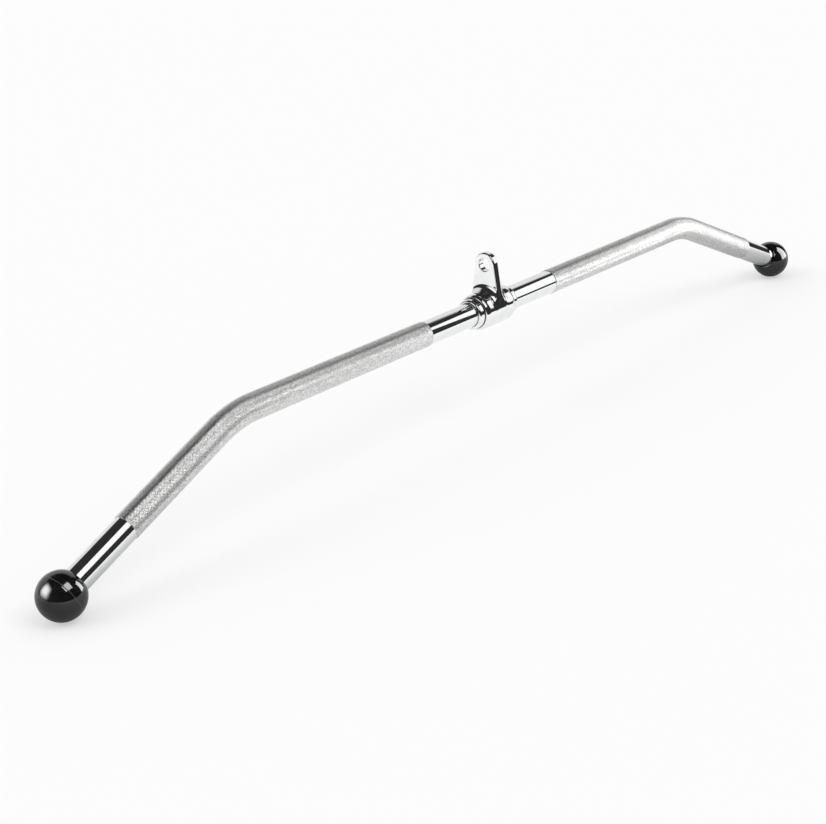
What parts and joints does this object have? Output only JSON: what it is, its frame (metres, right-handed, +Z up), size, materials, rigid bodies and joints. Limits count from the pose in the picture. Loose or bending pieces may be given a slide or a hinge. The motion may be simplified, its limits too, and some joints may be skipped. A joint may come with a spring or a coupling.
{
  "type": "lat pulldown bar",
  "caption": "Bent steel pull bar with knurled grips and ball ends, turning freely in a central hanger whose eye takes a cable's snap hook.",
  "frame": {"origin": "centre of the hanger's eye, which the bar hangs from", "axes": "+X along the straight middle of the bar, +Z up from the bar through the hanger's lug"},
  "size_m": [1.219, 0.0454, 0.1781],
  "materials": {
    "chrome_hanger": "polished chrome plate on a forged steel hanger",
    "chrome_bar": "polished chrome plate, satin where it is knurled",
    "chrome_collar": "polished chrome plate on turned steel",
    "bush_bronze": "plain turned bronze, oiled",
    "washer_nylon": "black nylon, smooth",
    "screw_steel": "black oxide steel",
    "ball_plastic": "glossy black moulded plastic with a fine mould seam",
    "insert_brass": "turned brass"
  },
  "bodies": {
    "hanger": {"hanger_body": "chrome_hanger", "left_bush": "bush_bronze", "right_bush": "bush_bronze"},
    "bar": {"bent_bar": "chrome_bar", "left_thrust_washer": "washer_nylon", "right_thrust_washer": "washer_nylon", "left_collar": "chrome_collar", "right_collar": "chrome_collar", "left_collar_screw": "screw_steel", "right_collar_screw": "screw_steel", "left_ball": "ball_plastic", "right_ball": "ball_plastic", "left_ball_insert": "insert_brass", "right_ball_insert": "insert_brass"}
  },
  "joints": [
    {"name": "bar_spin", "type": "hinge", "parent": "hanger", "child": "bar", "pos_m": [0, 0, -0.0475], "axis": [1, 0, 0], "continuous": true}
  ]
}
